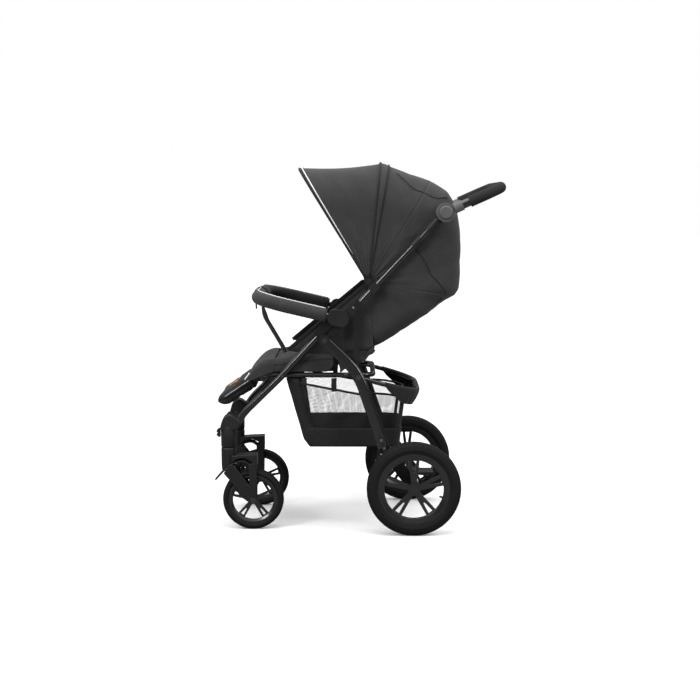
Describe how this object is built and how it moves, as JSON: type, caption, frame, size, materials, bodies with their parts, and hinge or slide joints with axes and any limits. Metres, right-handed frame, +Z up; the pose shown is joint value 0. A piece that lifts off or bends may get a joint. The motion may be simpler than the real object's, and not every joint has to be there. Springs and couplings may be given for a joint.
{
  "type": "folding baby stroller",
  "caption": "Folding four-wheel stroller with forward-fold frame, three-segment hood, tilting handle, bumper bar, reclining seat, footrest and mesh basket.",
  "frame": {"origin": "middle of the bounding box, on the ground", "axes": "+Z up, front faces -Y, +X is the left side of the stroller, the side away from a viewer who stands at its right"},
  "size_m": [0.5956, 0.8923, 1.1213],
  "materials": {
    "frame": "satin",
    "plastic": "matt",
    "joint_grey": "satin",
    "steel": "satin",
    "fabric_grey": "woven",
    "fabric_black": "woven",
    "mesh": "net",
    "grip": "foam",
    "tyre": "matt",
    "rim": "gloss",
    "webbing": "webbing"
  },
  "bodies": {
    "front_frame": {"front_leg_left": "frame", "front_leg_right": "frame", "front_crossbar": "frame", "strut_housings": "plastic", "hinge_cheeks": "plastic", "frame_pins": "steel", "basket": "mesh"},
    "push_frame": {"push_tube_left": "frame", "push_tube_right": "frame", "hinge_covers": "plastic", "tilt_bases": "joint_grey", "rear_pivot_bolts": "steel", "canopy_clips": "plastic", "backrest_hangers": "frame", "side_panels": "fabric_black", "canopy_rear": "fabric_grey"},
    "handle": {"handle_tube": "frame", "handle_grip": "grip", "handle_discs": "joint_grey"},
    "button_left": {"handle_button_left": "plastic"},
    "button_right": {"handle_button_right": "plastic"},
    "trigger_left": {"fold_trigger_left": "plastic"},
    "trigger_right": {"fold_trigger_right": "plastic"},
    "canopy_hub": {"canopy_hubs": "steel"},
    "canopy_mid": {"mid_bow": "plastic"},
    "canopy_front": {"front_bow": "plastic", "canopy_front_panel": "fabric_grey"},
    "backrest": {"backrest_board": "plastic", "backrest_cushion": "fabric_grey"},
    "seat_frame": {"seat_frame_tube": "frame", "seat_cushion": "fabric_grey", "harness_buckle": "plastic", "footrest_joints": "plastic"},
    "footrest": {"footrest_frame": "frame", "footrest_pad": "fabric_grey"},
    "bumper_mount": {"bumper_adapters": "plastic"},
    "bumper_bar": {"bumper_core": "frame", "bumper_cover": "fabric_grey", "crotch_strap": "webbing"},
    "rear_frame": {"rear_leg_left": "frame", "rear_leg_right": "frame", "rear_axle": "steel", "axle_brackets": "frame", "basket_hoop": "frame", "seat_pivot_bolts": "steel"},
    "brake": {"brake_pedal": "plastic"},
    "fork_left": {"fork_left": "plastic", "front_axle_left": "steel"},
    "fork_right": {"fork_right": "plastic", "front_axle_right": "steel"},
    "lock_left": {"swivel_lock_left": "plastic"},
    "lock_right": {"swivel_lock_right": "plastic"},
    "front_wheel_left": {"front_wheel_tyre_left": "tyre", "front_wheel_rim_left": "rim"},
    "front_wheel_right": {"front_wheel_tyre_right": "tyre", "front_wheel_rim_right": "rim"},
    "rear_wheel_left": {"rear_wheel_tyre_left": "tyre", "rear_wheel_rim_left": "rim"},
    "rear_wheel_right": {"rear_wheel_tyre_right": "tyre", "rear_wheel_rim_right": "rim"}
  },
  "joints": [
    {"name": "frame_fold", "type": "hinge", "parent": "front_frame", "child": "push_frame", "pos_m": [0, -0.062, 0.656], "axis": [1, 0, 0], "range_deg": [0, 150], "deforming": ["basket", "side_panels", "canopy_rear", "backrest_cushion", "seat_cushion", "crotch_strap", "footrest_pad"]},
    {"name": "rear_leg_fold", "type": "hinge", "parent": "push_frame", "child": "rear_frame", "pos_m": [0, -0.103, 0.587], "axis": [1, 0, 0], "range_deg": [-201, 0]},
    {"name": "seat_link_fold", "type": "hinge", "parent": "front_frame", "child": "seat_frame", "pos_m": [0, -0.231, 0.476], "axis": [1, 0, 0], "range_deg": [0, 18]},
    {"name": "bumper_fold", "type": "hinge", "parent": "front_frame", "child": "bumper_mount", "pos_m": [0, -0.062, 0.656], "axis": [1, 0, 0], "range_deg": [0, 49]},
    {"name": "bumper_release", "type": "slide", "parent": "bumper_mount", "child": "bumper_bar", "axis": [0, -0.9744, 0.225], "range_m": [0, 0.035]},
    {"name": "canopy_push", "type": "hinge", "parent": "push_frame", "child": "canopy_hub", "pos_m": [0, 0.03084, 0.7591], "axis": [1, 0, 0], "range_deg": [-61, 0]},
    {"name": "canopy_close", "type": "hinge", "parent": "canopy_hub", "child": "canopy_mid", "pos_m": [0, 0.03084, 0.7591], "axis": [1, 0, 0], "range_deg": [-18, 0]},
    {"name": "canopy_front_close", "type": "hinge", "parent": "canopy_mid", "child": "canopy_front", "pos_m": [0, 0.03084, 0.7591], "axis": [1, 0, 0], "range_deg": [-28, 0], "deforming": ["canopy_front_panel"]},
    {"name": "backrest_recline", "type": "hinge", "parent": "push_frame", "child": "backrest", "pos_m": [0, -0.008, 0.53], "axis": [1, 0, 0], "range_deg": [0, 25]},
    {"name": "handle_tilt", "type": "hinge", "parent": "push_frame", "child": "handle", "pos_m": [0, 0.26033, 0.97121], "axis": [1, 0, 0], "range_deg": [-89, 90]},
    {"name": "handle_button_press_left", "type": "slide", "parent": "handle", "child": "button_left", "axis": [-1, 0, 0], "range_m": [0, 0.003], "stiffness_N_per_m": 600},
    {"name": "handle_button_press_right", "type": "slide", "parent": "handle", "child": "button_right", "axis": [1, 0, 0], "range_m": [0, 0.003], "stiffness_N_per_m": 600},
    {"name": "fold_trigger_pull_left", "type": "slide", "parent": "push_frame", "child": "trigger_left", "axis": [0, 0.6871, 0.7266], "range_m": [0, 0.012], "stiffness_N_per_m": 400},
    {"name": "fold_trigger_pull_right", "type": "slide", "parent": "push_frame", "child": "trigger_right", "axis": [0, 0.6871, 0.7266], "range_m": [0, 0.012], "stiffness_N_per_m": 400},
    {"name": "footrest_tilt", "type": "hinge", "parent": "seat_frame", "child": "footrest", "pos_m": [0, -0.303, 0.476], "axis": [1, 0, 0], "range_deg": [-35, 15]},
    {"name": "brake_press", "type": "hinge", "parent": "rear_frame", "child": "brake", "pos_m": [0, 0.166, 0.1425], "axis": [1, 0, 0], "range_deg": [-20, 0]},
    {"name": "front_swivel_left", "type": "hinge", "parent": "front_frame", "child": "fork_left", "pos_m": [0.181, -0.4, 0.25], "axis": [0, 0, 1], "continuous": true},
    {"name": "swivel_lock_drop_left", "type": "slide", "parent": "front_frame", "child": "lock_left", "axis": [0, 0, -1], "range_m": [0, 0.006]},
    {"name": "front_wheel_spin_left", "type": "hinge", "parent": "fork_left", "child": "front_wheel_left", "pos_m": [0.181, -0.324, 0.0935], "axis": [1, 0, 0], "continuous": true},
    {"name": "rear_wheel_spin_left", "type": "hinge", "parent": "rear_frame", "child": "rear_wheel_left", "pos_m": [0.275, 0.166, 0.1425], "axis": [1, 0, 0], "continuous": true},
    {"name": "front_swivel_right", "type": "hinge", "parent": "front_frame", "child": "fork_right", "pos_m": [-0.181, -0.4, 0.25], "axis": [0, 0, 1], "continuous": true},
    {"name": "swivel_lock_drop_right", "type": "slide", "parent": "front_frame", "child": "lock_right", "axis": [0, 0, -1], "range_m": [0, 0.006]},
    {"name": "front_wheel_spin_right", "type": "hinge", "parent": "fork_right", "child": "front_wheel_right", "pos_m": [-0.181, -0.324, 0.0935], "axis": [1, 0, 0], "continuous": true},
    {"name": "rear_wheel_spin_right", "type": "hinge", "parent": "rear_frame", "child": "rear_wheel_right", "pos_m": [-0.275, 0.166, 0.1425], "axis": [1, 0, 0], "continuous": true}
  ],
  "couplings": [
    {"joint": "rear_leg_fold", "follows": "frame_fold", "ratio": -1.336},
    {"joint": "seat_link_fold", "follows": "frame_fold", "ratio": 0.1167},
    {"joint": "bumper_fold", "follows": "frame_fold", "ratio": 0.32},
    {"joint": "canopy_push", "follows": "frame_fold", "ratio": -0.4},
    {"joint": "canopy_front_close", "follows": "canopy_close", "ratio": 1.4}
  ]
}
